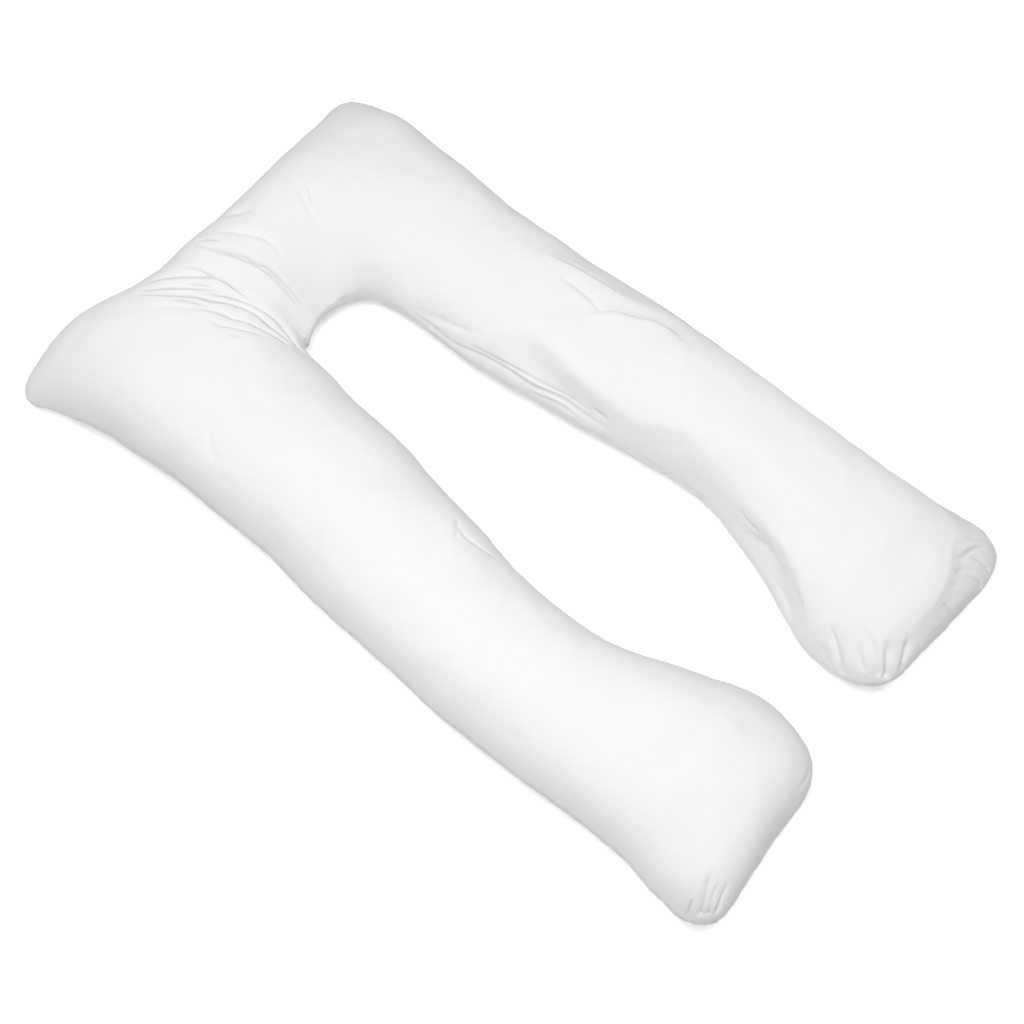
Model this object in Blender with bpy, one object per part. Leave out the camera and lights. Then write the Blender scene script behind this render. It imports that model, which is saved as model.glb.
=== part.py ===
"""Body pillow of the U kind, lying on its back on a flat surface.

Two panels of white cloth are cut to the same U, sewn together all round and stuffed, so the
pillow is one filled solid. It has a head bar, two legs, and a flared foot on each leg. +Y runs
from the feet to the head, +Z is up, and the origin is under the middle of the pillow.
"""

from math import pi, cos

import bmesh
import bpy
import numpy as np
from mathutils import Vector
from mathutils.bvhtree import BVHTree

# Driving dimensions, in metres
CROSS_CELLS = 18         # cells across, from the inner seam to the outer one
STEEPNESS = 0.72         # rise of the upper panel over its half width, near the seam
CROWN_LIMIT = 0.140      # height that the crown comes up to where the pillow is wide
SINK = 0.020             # how far the lower panel would hang below the surface it lies on
FOLD_STEP = 0.010        # distance between the points that a fold is measured from
FOLD_SHARPNESS = 1.4     # 1 for straight walls, more for a narrower bottom
REST_MARGIN = 0.030      # height over which folds fade out towards the resting face

COTTON_COLOUR = (0.86, 0.86, 0.85, 1.0)
COTTON_ROUGHNESS = 0.85

# The U as cross-sections, from the end of the near leg, up it, along the head bar and down
# the far leg: where the seam is on the inner and on the outer side, how full the pillow is
# stuffed there, how slack the cloth is at either seam, and how far apart the cells are from
# there on.
SECTION_COLUMNS = ("inner_x", "inner_y", "inner_z", "outer_x", "outer_y", "outer_z",
                   "fill", "inner_slack", "outer_slack", "cell")
SECTIONS = [
    # near foot
    (-0.165, -0.688, 0.052, -0.345, -0.702, 0.052, 1.82, 0.00, 0.00, 0.016),
    (-0.125, -0.682, 0.052, -0.366, -0.697, 0.052, 1.76, 0.00, 0.00, 0.016),
    (-0.093, -0.667, 0.054, -0.381, -0.682, 0.052, 1.62, 0.00, 0.05, 0.016),
    (-0.070, -0.638, 0.058, -0.393, -0.655, 0.056, 1.38, 0.00, 0.10, 0.020),
    (-0.055, -0.595, 0.056, -0.391, -0.610, 0.064, 1.26, 0.02, 0.12, 0.025),
    (-0.055, -0.545, 0.058, -0.384, -0.550, 0.070, 1.19, 0.00, 0.14, 0.030),
    # near leg
    (-0.077, -0.475, 0.063, -0.380, -0.470, 0.073, 1.14, 0.02, 0.15, 0.035),
    (-0.107, -0.400, 0.068, -0.379, -0.395, 0.074, 1.09, 0.02, 0.15, 0.035),
    (-0.136, -0.320, 0.075, -0.381, -0.320, 0.075, 1.04, 0.00, 0.15, 0.035),
    (-0.142, -0.225, 0.075, -0.382, -0.225, 0.075, 1.04, 0.00, 0.12, 0.030),
    (-0.134, -0.135, 0.075, -0.380, -0.125, 0.075, 1.03, 0.00, 0.10, 0.025),
    (-0.105, 0.000, 0.075, -0.366, 0.020, 0.074, 1.04, 0.00, 0.14, 0.035),
    (-0.078, 0.150, 0.072, -0.350, 0.175, 0.073, 1.05, 0.02, 0.12, 0.035),
    (-0.058, 0.290, 0.072, -0.347, 0.330, 0.074, 1.03, 0.20, 0.04, 0.025),
    # near corner of the head
    (-0.048, 0.343, 0.072, -0.354, 0.460, 0.070, 1.03, 0.26, 0.10, 0.022),
    (-0.041, 0.363, 0.072, -0.363, 0.560, 0.056, 1.05, 0.27, 0.22, 0.015),
    (-0.034, 0.371, 0.070, -0.375, 0.616, 0.040, 1.09, 0.30, 0.32, 0.015),
    (-0.028, 0.374, 0.068, -0.388, 0.648, 0.030, 1.14, 0.34, 0.36, 0.015),
    (-0.021, 0.377, 0.067, -0.382, 0.679, 0.032, 1.19, 0.40, 0.34, 0.015),
    (-0.013, 0.381, 0.066, -0.336, 0.694, 0.044, 1.24, 0.44, 0.24, 0.012),
    # head bar
    (-0.004, 0.384, 0.068, -0.250, 0.689, 0.064, 1.25, 0.51, 0.12, 0.012),
    (0.008, 0.389, 0.065, -0.145, 0.654, 0.074, 1.33, 0.58, 0.05, 0.012),
    (0.025, 0.393, 0.064, -0.020, 0.638, 0.075, 1.36, 0.62, 0.00, 0.016),
    (0.044, 0.393, 0.064, 0.110, 0.636, 0.072, 1.35, 0.62, 0.05, 0.018),
    (0.060, 0.391, 0.065, 0.220, 0.645, 0.058, 1.31, 0.58, 0.26, 0.020),
    # far corner of the head
    (0.070, 0.387, 0.067, 0.316, 0.661, 0.042, 1.24, 0.49, 0.44, 0.018),
    (0.079, 0.381, 0.068, 0.365, 0.669, 0.029, 1.20, 0.45, 0.54, 0.015),
    (0.088, 0.375, 0.070, 0.392, 0.648, 0.029, 1.14, 0.41, 0.54, 0.015),
    (0.096, 0.366, 0.072, 0.397, 0.602, 0.041, 1.08, 0.38, 0.42, 0.018),
    (0.103, 0.348, 0.073, 0.394, 0.542, 0.060, 1.03, 0.35, 0.20, 0.025),
    # far leg
    (0.107, 0.310, 0.074, 0.384, 0.460, 0.070, 0.98, 0.32, 0.05, 0.025),
    (0.104, 0.220, 0.072, 0.373, 0.310, 0.070, 0.97, 0.28, 0.00, 0.028),
    (0.108, 0.120, 0.070, 0.368, 0.170, 0.070, 0.97, 0.24, 0.00, 0.022),
    (0.118, 0.000, 0.070, 0.375, 0.030, 0.070, 0.97, 0.14, 0.10, 0.022),
    (0.137, -0.120, 0.066, 0.380, -0.110, 0.074, 1.02, 0.05, 0.20, 0.022),
    (0.156, -0.230, 0.060, 0.374, -0.230, 0.078, 1.12, 0.00, 0.35, 0.025),
    (0.152, -0.300, 0.055, 0.371, -0.310, 0.079, 1.18, 0.00, 0.40, 0.025),
    (0.121, -0.395, 0.046, 0.367, -0.400, 0.078, 1.25, 0.05, 0.38, 0.025),
    (0.083, -0.480, 0.042, 0.367, -0.480, 0.076, 1.27, 0.10, 0.32, 0.025),
    # far foot
    (0.058, -0.545, 0.042, 0.371, -0.550, 0.068, 1.26, 0.12, 0.25, 0.020),
    (0.051, -0.600, 0.045, 0.383, -0.600, 0.052, 1.22, 0.12, 0.18, 0.015),
    (0.058, -0.644, 0.050, 0.392, -0.648, 0.036, 1.26, 0.08, 0.12, 0.012),
    (0.080, -0.669, 0.050, 0.377, -0.679, 0.030, 1.34, 0.05, 0.10, 0.012),
    (0.110, -0.681, 0.050, 0.346, -0.692, 0.032, 1.46, 0.00, 0.05, 0.014),
    (0.150, -0.684, 0.048, 0.310, -0.696, 0.036, 1.58, 0.00, 0.00, 0.014),
]

# The main folds in the upper panel: x and y of the points that each passes through, how far
# it reaches on its left and on its right, its depth (a ridge has a negative one), and its
# strength at its first and at its last point.
FOLD_COLUMNS = ("path", "left", "right", "depth", "first", "last")
FOLDS = [
    # creases that fan out from the crotch over the head bar
    (((-0.047, 0.604), (-0.032, 0.552), (-0.019, 0.511), (-0.006, 0.436)),
     0.014, 0.022, 0.0060, 0.2, 0.6),
    (((-0.086, 0.587), (-0.071, 0.540), (-0.062, 0.473), (-0.057, 0.454)),
     0.014, 0.014, 0.0040, 0.1, 0.2),
    (((-0.142, 0.619), (-0.091, 0.560), (-0.054, 0.513)), 0.014, 0.014, 0.0040, 0.3, 0.0),
    (((-0.160, 0.612), (-0.118, 0.530), (-0.094, 0.488), (-0.070, 0.410), (-0.060, 0.375)),
     0.013, 0.014, 0.0065, 0.2, 1.0),
    (((-0.140, 0.500), (-0.117, 0.462), (-0.095, 0.410), (-0.076, 0.376)),
     0.013, 0.014, 0.0050, 0.1, 0.8),
    (((-0.050, 0.400), (-0.056, 0.372), (-0.060, 0.345)), 0.014, 0.014, 0.0050, 0.6, 0.3),
    (((0.020, 0.625), (0.037, 0.599), (0.063, 0.568)), 0.024, 0.024, 0.0055, 0.8, 0.0),
    (((-0.004, 0.585), (0.015, 0.552), (0.029, 0.483)), 0.020, 0.018, 0.0035, 0.4, 0.0),
    # a light wrinkle on the far half of the head bar
    (((0.150, 0.567), (0.117, 0.502), (0.107, 0.458)), 0.016, 0.016, 0.0035, 0.0, 0.2),
    # slack folds along the inner side of the far leg, and the edge of its flat top above them
    (((0.110, 0.290), (0.109, 0.190), (0.120, 0.087), (0.130, -0.010), (0.138, -0.092)),
     0.030, 0.012, 0.0070, 0.2, 0.3),
    (((0.190, 0.130), (0.176, 0.049), (0.165, -0.023), (0.164, -0.102), (0.165, -0.129)),
     0.045, 0.028, -0.0040, 0.1, 0.3),
    (((0.170, 0.092), (0.158, 0.020), (0.150, -0.060)), 0.014, 0.022, 0.0040, 0.1, 0.3),
    (((0.166, -0.110), (0.185, -0.170), (0.197, -0.205), (0.178, -0.275)),
     0.035, 0.030, -0.0030, 0.2, 0.2),
    # the outer edge of the far leg's flat top, and slack folds along it
    (((0.289, 0.190), (0.309, 0.108), (0.316, 0.028), (0.345, -0.034)),
     0.030, 0.030, -0.0030, 0.1, 0.2),
    (((0.270, 0.027), (0.300, -0.017), (0.321, -0.073), (0.315, -0.101)),
     0.028, 0.014, 0.0050, 0.4, 0.2),
    # the hollow above the inner side of the far foot
    (((0.168, -0.320), (0.146, -0.411), (0.118, -0.477), (0.088, -0.512)),
     0.040, 0.028, -0.0040, 0.1, 0.3),
    (((0.136, -0.353), (0.126, -0.422), (0.112, -0.454)), 0.014, 0.014, 0.0040, 0.0, 0.2),
    (((0.104, -0.440), (0.090, -0.474), (0.076, -0.499)), 0.014, 0.012, 0.0040, 0.0, 0.3),
    # gathers round the inner and the outer corner of the far foot
    (((0.089, -0.556), (0.070, -0.585), (0.054, -0.608)), 0.013, 0.013, 0.0050, 0.0, 1.0),
    (((0.112, -0.597), (0.097, -0.628), (0.080, -0.655)), 0.013, 0.013, 0.0050, 0.0, 1.0),
    (((0.146, -0.640), (0.125, -0.660), (0.104, -0.678)), 0.013, 0.013, 0.0055, 0.1, 1.0),
    (((0.283, -0.664), (0.303, -0.660), (0.322, -0.668)), 0.016, 0.016, 0.0060, 0.3, 0.6),
    (((0.323, -0.640), (0.343, -0.654), (0.357, -0.674)), 0.014, 0.014, 0.0040, 0.2, 0.8),
    # gathers round the outer and the inner corner of the near foot
    (((-0.332, -0.650), (-0.355, -0.661), (-0.376, -0.672)), 0.012, 0.012, 0.0055, 0.1, 1.0),
    (((-0.322, -0.674), (-0.345, -0.683), (-0.360, -0.688)), 0.012, 0.012, 0.0045, 0.1, 1.0),
    (((-0.104, -0.659), (-0.125, -0.668), (-0.154, -0.671)), 0.013, 0.013, 0.0030, 0.2, 0.2),
    # small wrinkles and a dent on the near leg
    (((-0.149, -0.033), (-0.160, -0.057), (-0.157, -0.085), (-0.150, -0.121)),
     0.014, 0.014, 0.0035, 0.4, 0.1),
    (((-0.188, 0.371), (-0.195, 0.329), (-0.195, 0.274)), 0.028, 0.028, 0.0030, 0.2, 0.2),
]


def remove_everything():
    for item in list(bpy.data.objects):
        bpy.data.objects.remove(item, do_unlink=True)


def smooth_curve(rows, lengths, steps):
    """Rows of a smooth curve through the given ones, each stretch cut into even steps."""
    rows = np.array(rows)
    along = np.concatenate(([0.0], np.cumsum(lengths)))
    slopes = np.gradient(rows, along, axis=0)
    curve = []
    for k, length in enumerate(lengths):
        count = max(2, int(np.ceil(length / steps[k])))
        for m in range(count):
            f = m / count
            curve.append((1 + 2 * f) * (1 - f) ** 2 * rows[k]
                         + f * (1 - f) ** 2 * length * slopes[k]
                         + f * f * (3 - 2 * f) * rows[k + 1]
                         - f * f * (1 - f) * length * slopes[k + 1])
    curve.append(rows[-1])
    return np.array(curve)


def cross_sections():
    rows = np.array(SECTIONS)
    gaps = np.diff(rows[:, (0, 1, 3, 4)], axis=0)
    lengths = 0.5 * (np.hypot(gaps[:, 0], gaps[:, 1]) + np.hypot(gaps[:, 2], gaps[:, 3]))
    return smooth_curve(rows[:, :9], lengths, rows[:, 9])


def plan_grid(stations):
    """Points of the flat panel, with rows along the U and closer columns at the seams."""
    across = np.array([0.5 * (1 - cos(pi * j / CROSS_CELLS)) for j in range(CROSS_CELLS + 1)])
    inner = stations[:, None, 0:2]
    outer = stations[:, None, 3:5]
    return inner + (outer - inner) * across[None, :, None]


def stuffed_height(plan):
    """Root of a membrane's bulge, which is half the width at the middle of a long strip.

    The membrane is held at the seam all round and pushed by an even load.
    """
    rows, cols = plan.shape[:2]
    number = np.arange(rows * cols).reshape(rows, cols)
    a, b = number[:-1, :-1].ravel(), number[1:, :-1].ravel()
    c, d = number[1:, 1:].ravel(), number[:-1, 1:].ravel()
    triangles = np.concatenate((np.stack((a, b, c), 1), np.stack((a, c, d), 1),
                                np.stack((a, b, d), 1), np.stack((b, c, d), 1)))
    corners = plan.reshape(-1, 2)[triangles]
    edges = np.stack([corners[:, (k + 2) % 3] - corners[:, (k + 1) % 3] for k in range(3)], 1)
    area = 0.5 * np.abs(edges[:, 0, 0] * edges[:, 1, 1] - edges[:, 0, 1] * edges[:, 1, 0])
    stiffness = np.zeros((rows * cols, rows * cols))
    load = np.zeros(rows * cols)
    for p in range(3):
        np.add.at(load, triangles[:, p], 2 * area / 3)
        for q in range(3):
            share = (edges[:, p] * edges[:, q]).sum(1) / (4 * area)
            np.add.at(stiffness, (triangles[:, p], triangles[:, q]), share)
    inside = number[1:-1, 1:-1].ravel()
    bulge = np.zeros(rows * cols)
    bulge[inside] = np.linalg.solve(stiffness[np.ix_(inside, inside)], load[inside])
    return np.sqrt(np.maximum(bulge, 0.0)).reshape(rows, cols)


def crown(height):
    """Rise of the upper panel: steep at the seam, and held down by the cloth further in."""
    share = STEEPNESS * height / CROWN_LIMIT
    return CROWN_LIMIT * share / np.cbrt(1 + share ** 3)


def panel_heights(stations, plan):
    """Heights of the upper and the lower panel at every point of the plan."""
    height = stuffed_height(plan)
    typical = np.median(height[:, CROSS_CELLS // 2])
    inner_z, outer_z, fill = (stations[:, k][:, None] for k in (2, 5, 6))
    inner_slack, outer_slack = (stations[:, k][:, None] for k in (7, 8))
    across = np.linspace(0.0, 1.0, CROSS_CELLS + 1)[None, :]
    seam = inner_z + (outer_z - inner_z) * across ** 4
    inner_slack = np.maximum(inner_slack, 0.0) * (1 - across) ** 1.5
    outer_slack = np.maximum(outer_slack, 0.0) * across ** 1.5
    height = height * (height / typical) ** (inner_slack + outer_slack)
    upper = seam + fill * (1 - inner_slack) * crown(height)
    lower = np.maximum(0.0, seam - (seam + SINK) * height / typical)
    return upper, lower


def split_corners(bm, verts, rows, cols):
    """Cut each corner cell from its corner inwards, so the panels share only their edge."""
    last = (rows - 1) * cols
    pairs = ((0, cols + 1), (cols - 1, 2 * cols - 2),
             (last, last - cols + 1), (last + cols - 1, last - 2))
    for corner, inward in pairs:
        bmesh.ops.connect_vert_pair(bm, verts=[verts[corner], verts[inward]])


def stuffed_panels():
    """The two panels, bulged by the filling and sewn together at their edge."""
    stations = cross_sections()
    plan = plan_grid(stations)
    rows, cols = plan.shape[:2]
    bm = bmesh.new()
    for height in panel_heights(stations, plan):
        sheet = bmesh.ops.create_grid(bm, x_segments=cols - 1, y_segments=rows - 1, size=0.5)
        for k, vert in enumerate(sheet["verts"]):
            i, j = divmod(k, cols)
            vert.co = (plan[i, j, 0], plan[i, j, 1], height[i, j])
        split_corners(bm, sheet["verts"], rows, cols)
    bmesh.ops.remove_doubles(bm, verts=bm.verts, dist=1e-5)
    bmesh.ops.recalc_face_normals(bm, faces=bm.faces)
    return bm


def fold_line(path, surface):
    """Points along a fold, laid on the upper panel."""
    gaps = np.diff(np.array(path), axis=0)
    lengths = np.hypot(gaps[:, 0], gaps[:, 1])
    line = []
    for x, y in smooth_curve(path, lengths, [FOLD_STEP] * len(lengths)):
        hit = surface.ray_cast(Vector((x, y, 1.0)), Vector((0.0, 0.0, -1.0)))[0]
        if hit is not None:
            line.append(tuple(hit))
    return np.array(line)


def press_folds(bm):
    """Push the cloth in along each fold, square to its surface."""
    surface = BVHTree.FromBMesh(bm)
    bm.normal_update()
    points = np.array([vert.co for vert in bm.verts])
    every = np.arange(len(points))
    pressed = np.zeros(len(points))
    for path, left, right, depth, first, last in FOLDS:
        line = fold_line(path, surface)
        start, run = line[:-1], np.diff(line, axis=0)
        offset = points[:, None] - start[None]
        f = np.clip((offset * run).sum(2) / (run * run).sum(1), 0.0, 1.0)
        away = offset - f[:, :, None] * run
        distance = np.linalg.norm(away, axis=2)
        nearest = distance.argmin(axis=1)
        distance, away, run = distance[every, nearest], away[every, nearest], run[nearest]
        on_left = run[:, 0] * away[:, 1] - run[:, 1] * away[:, 0] > 0
        place = (nearest + f[every, nearest]) / len(start)
        strength = np.interp(place, (0.0, 0.35, 0.65, 1.0), (first, 1.0, 1.0, last))
        share = np.clip(1 - distance / np.where(on_left, left, right), 0.0, 1.0)
        pressed += depth * strength * share ** FOLD_SHARPNESS
    above_rest = np.clip(points[:, 2] / REST_MARGIN, 0.0, 1.0)
    for vert, push in zip(bm.verts, pressed * above_rest):
        vert.co -= vert.normal * float(push)


def cotton():
    material = bpy.data.materials.new("cotton_cover")
    material.use_nodes = True
    surface = material.node_tree.nodes["Principled BSDF"]
    surface.inputs["Base Color"].default_value = COTTON_COLOUR
    surface.inputs["Roughness"].default_value = COTTON_ROUGHNESS
    surface.inputs["Metallic"].default_value = 0.0
    return material


def centre(bm):
    """Put the origin under the middle of the pillow's length and width."""
    points = np.array([vert.co for vert in bm.verts])
    middle = 0.5 * (points.min(axis=0) + points.max(axis=0))
    bmesh.ops.translate(bm, vec=(-middle[0], -middle[1], 0.0), verts=bm.verts)


def build_pillow():
    bm = stuffed_panels()
    centre(bm)
    press_folds(bm)
    mesh = bpy.data.meshes.new("pillow")
    bm.to_mesh(mesh)
    bm.free()
    mesh.shade_smooth()
    mesh.materials.append(cotton())
    bpy.context.collection.objects.link(bpy.data.objects.new("pillow", mesh))


remove_everything()
build_pillow()
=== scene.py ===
from math import cos, exp, pi, radians, sin

import bmesh
import bpy
import numpy as np
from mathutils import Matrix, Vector, noise
from mathutils.bvhtree import BVHTree
from mathutils.kdtree import KDTree


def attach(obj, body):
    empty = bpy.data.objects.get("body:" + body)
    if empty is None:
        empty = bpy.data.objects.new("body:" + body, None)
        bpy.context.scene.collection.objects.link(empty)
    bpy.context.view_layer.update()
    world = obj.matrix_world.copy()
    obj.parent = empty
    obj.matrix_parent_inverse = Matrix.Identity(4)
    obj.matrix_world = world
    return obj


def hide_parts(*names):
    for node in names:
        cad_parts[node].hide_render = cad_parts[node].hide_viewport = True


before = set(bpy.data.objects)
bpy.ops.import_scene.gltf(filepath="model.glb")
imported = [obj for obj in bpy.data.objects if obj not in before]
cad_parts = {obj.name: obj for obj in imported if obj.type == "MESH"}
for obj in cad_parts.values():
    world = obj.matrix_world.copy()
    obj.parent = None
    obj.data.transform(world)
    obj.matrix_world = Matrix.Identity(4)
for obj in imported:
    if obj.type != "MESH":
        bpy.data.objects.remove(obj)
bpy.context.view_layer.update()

# Camera. It stands over the feet of the pillow, to the near leg's side, and looks well down on
# it, so both legs and the head bar show at full length.
CAMERA_AZIMUTH = radians(-50.3)
CAMERA_ELEVATION = radians(63.6)
CAMERA_DISTANCE = 3.25
CAMERA_TARGET = Vector((-0.051, -0.0595, 0.050))
CAMERA_LENS = 73.9

camera_data = bpy.data.cameras.new("camera")
camera_data.lens = CAMERA_LENS
camera_data.sensor_width = 36.0
camera = bpy.data.objects.new("camera", camera_data)
bpy.context.collection.objects.link(camera)
camera_back = Vector((
    sin(CAMERA_AZIMUTH) * cos(CAMERA_ELEVATION),
    -cos(CAMERA_AZIMUTH) * cos(CAMERA_ELEVATION),
    sin(CAMERA_ELEVATION),
))
camera.location = CAMERA_TARGET + camera_back * CAMERA_DISTANCE
camera.rotation_mode = "QUATERNION"
camera.rotation_quaternion = (-camera_back).to_track_quat("-Z", "Y")
bpy.context.scene.camera = camera


# The pillow's panels. Two pieces of white cotton are cut to the same U, sewn together all
# round inside out, turned and stuffed with fibre. Below is the U as cross-sections, from the
# near foot up the near leg, over the head bar and down the far leg.
CROSS_CELLS = 14         # cells across, from the inner seam to the outer one
LONGEST_CELL = 0.027     # longest cell along the U
STEEPNESS = 0.72         # rise of the upper panel over its half width, near the seam
CROWN_LIMIT = 0.140      # height that the crown comes up to where the pillow is wide
SINK = 0.020             # how far the lower panel would hang below the surface it lies on
SEAM_TURN = 4            # how late, going across, the seam's height turns into the outer one
SLACK_FADE = 1.5         # how quickly the slack of either seam fades away from it
SEW_DISTANCE = 1e-5      # points of the two panels that are closer than this are sewn together
SHOWING = 0.010          # height above which the cloth shows, and is cut into finer faces

# x, y and height of the seam on the inner and on the outer side, how full the pillow is
# stuffed there, how slack the cloth is at either seam, and how far apart the cells are from
# there on
SECTIONS = [
    # near foot
    (-0.165, -0.688, 0.052, -0.345, -0.702, 0.052, 1.82, 0.00, 0.00, 0.016),
    (-0.125, -0.682, 0.052, -0.366, -0.697, 0.052, 1.76, 0.00, 0.00, 0.016),
    (-0.093, -0.667, 0.054, -0.381, -0.682, 0.052, 1.62, 0.00, 0.05, 0.016),
    (-0.070, -0.638, 0.058, -0.393, -0.655, 0.056, 1.38, 0.00, 0.10, 0.020),
    (-0.055, -0.595, 0.056, -0.391, -0.610, 0.064, 1.26, 0.02, 0.12, 0.025),
    (-0.055, -0.545, 0.058, -0.384, -0.550, 0.070, 1.19, 0.00, 0.14, 0.030),
    # near leg
    (-0.077, -0.475, 0.063, -0.380, -0.470, 0.073, 1.14, 0.02, 0.15, 0.035),
    (-0.107, -0.400, 0.068, -0.379, -0.395, 0.074, 1.09, 0.02, 0.15, 0.035),
    (-0.136, -0.320, 0.075, -0.381, -0.320, 0.075, 1.04, 0.00, 0.15, 0.035),
    (-0.142, -0.225, 0.075, -0.382, -0.225, 0.075, 1.04, 0.00, 0.12, 0.030),
    (-0.134, -0.135, 0.075, -0.380, -0.125, 0.075, 1.03, 0.00, 0.10, 0.025),
    (-0.105, 0.000, 0.075, -0.366, 0.020, 0.074, 1.04, 0.00, 0.14, 0.035),
    (-0.078, 0.150, 0.072, -0.350, 0.175, 0.073, 1.05, 0.02, 0.12, 0.035),
    (-0.058, 0.290, 0.072, -0.347, 0.330, 0.074, 1.03, 0.20, 0.04, 0.025),
    # near corner of the head
    (-0.048, 0.343, 0.072, -0.354, 0.460, 0.070, 1.03, 0.26, 0.10, 0.022),
    (-0.041, 0.363, 0.072, -0.363, 0.560, 0.056, 1.05, 0.27, 0.22, 0.015),
    (-0.034, 0.371, 0.070, -0.375, 0.616, 0.040, 1.09, 0.30, 0.32, 0.015),
    (-0.028, 0.374, 0.068, -0.388, 0.648, 0.030, 1.14, 0.34, 0.36, 0.015),
    (-0.021, 0.377, 0.067, -0.382, 0.679, 0.032, 1.19, 0.40, 0.34, 0.015),
    (-0.013, 0.381, 0.066, -0.336, 0.694, 0.044, 1.24, 0.44, 0.24, 0.012),
    # head bar
    (-0.004, 0.384, 0.068, -0.250, 0.689, 0.064, 1.25, 0.51, 0.12, 0.012),
    (0.008, 0.389, 0.065, -0.145, 0.654, 0.074, 1.33, 0.58, 0.05, 0.012),
    (0.025, 0.393, 0.064, -0.020, 0.638, 0.075, 1.36, 0.62, 0.00, 0.016),
    (0.044, 0.393, 0.064, 0.110, 0.636, 0.072, 1.35, 0.62, 0.05, 0.018),
    (0.060, 0.391, 0.065, 0.220, 0.645, 0.058, 1.31, 0.58, 0.26, 0.020),
    # far corner of the head
    (0.070, 0.387, 0.067, 0.316, 0.661, 0.042, 1.24, 0.49, 0.44, 0.018),
    (0.079, 0.381, 0.068, 0.365, 0.669, 0.029, 1.20, 0.45, 0.54, 0.015),
    (0.088, 0.375, 0.070, 0.392, 0.648, 0.029, 1.14, 0.41, 0.54, 0.015),
    (0.096, 0.366, 0.072, 0.397, 0.602, 0.041, 1.08, 0.38, 0.42, 0.018),
    (0.103, 0.348, 0.073, 0.394, 0.542, 0.060, 1.03, 0.35, 0.20, 0.025),
    # far leg
    (0.107, 0.310, 0.074, 0.384, 0.460, 0.070, 0.98, 0.32, 0.05, 0.025),
    (0.104, 0.220, 0.072, 0.373, 0.310, 0.070, 0.97, 0.28, 0.00, 0.028),
    (0.108, 0.120, 0.070, 0.368, 0.170, 0.070, 0.97, 0.24, 0.00, 0.022),
    (0.118, 0.000, 0.070, 0.375, 0.030, 0.070, 0.97, 0.14, 0.10, 0.022),
    (0.137, -0.120, 0.066, 0.380, -0.110, 0.074, 1.02, 0.05, 0.20, 0.022),
    (0.156, -0.230, 0.060, 0.374, -0.230, 0.078, 1.12, 0.00, 0.35, 0.025),
    (0.152, -0.300, 0.055, 0.371, -0.310, 0.079, 1.18, 0.00, 0.40, 0.025),
    (0.121, -0.395, 0.046, 0.367, -0.400, 0.078, 1.25, 0.05, 0.38, 0.025),
    (0.083, -0.480, 0.042, 0.367, -0.480, 0.076, 1.27, 0.10, 0.32, 0.025),
    # far foot
    (0.058, -0.545, 0.042, 0.371, -0.550, 0.068, 1.26, 0.12, 0.25, 0.020),
    (0.051, -0.600, 0.045, 0.383, -0.600, 0.052, 1.22, 0.12, 0.18, 0.015),
    (0.058, -0.644, 0.050, 0.392, -0.648, 0.036, 1.26, 0.08, 0.12, 0.012),
    (0.080, -0.669, 0.050, 0.377, -0.679, 0.030, 1.34, 0.05, 0.10, 0.012),
    (0.110, -0.681, 0.050, 0.346, -0.692, 0.032, 1.46, 0.00, 0.05, 0.014),
    (0.150, -0.684, 0.048, 0.310, -0.696, 0.036, 1.58, 0.00, 0.00, 0.014),
]


def smooth_curve(rows, lengths, steps):
    """Rows of a smooth curve through the given ones, each stretch cut into even steps."""
    rows = np.array(rows)
    along = np.concatenate(([0.0], np.cumsum(lengths)))
    slopes = np.gradient(rows, along, axis=0)
    curve = []
    for k, length in enumerate(lengths):
        count = max(2, int(np.ceil(length / steps[k])))
        for m in range(count):
            f = m / count
            curve.append((1 + 2 * f) * (1 - f) ** 2 * rows[k]
                         + f * (1 - f) ** 2 * length * slopes[k]
                         + f * f * (3 - 2 * f) * rows[k + 1]
                         - f * f * (1 - f) * length * slopes[k + 1])
    curve.append(rows[-1])
    return np.array(curve)


def cross_sections():
    rows = np.array(SECTIONS)
    gaps = np.diff(rows[:, (0, 1, 3, 4)], axis=0)
    lengths = 0.5 * (np.hypot(gaps[:, 0], gaps[:, 1]) + np.hypot(gaps[:, 2], gaps[:, 3]))
    return smooth_curve(rows[:, :9], lengths, np.minimum(rows[:, 9], LONGEST_CELL))


def plan_grid(stations):
    """Points of the flat panel, with rows along the U and closer columns at the seams."""
    across = np.array([0.5 * (1 - cos(pi * j / CROSS_CELLS)) for j in range(CROSS_CELLS + 1)])
    inner = stations[:, None, 0:2]
    outer = stations[:, None, 3:5]
    return inner + (outer - inner) * across[None, :, None]


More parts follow.
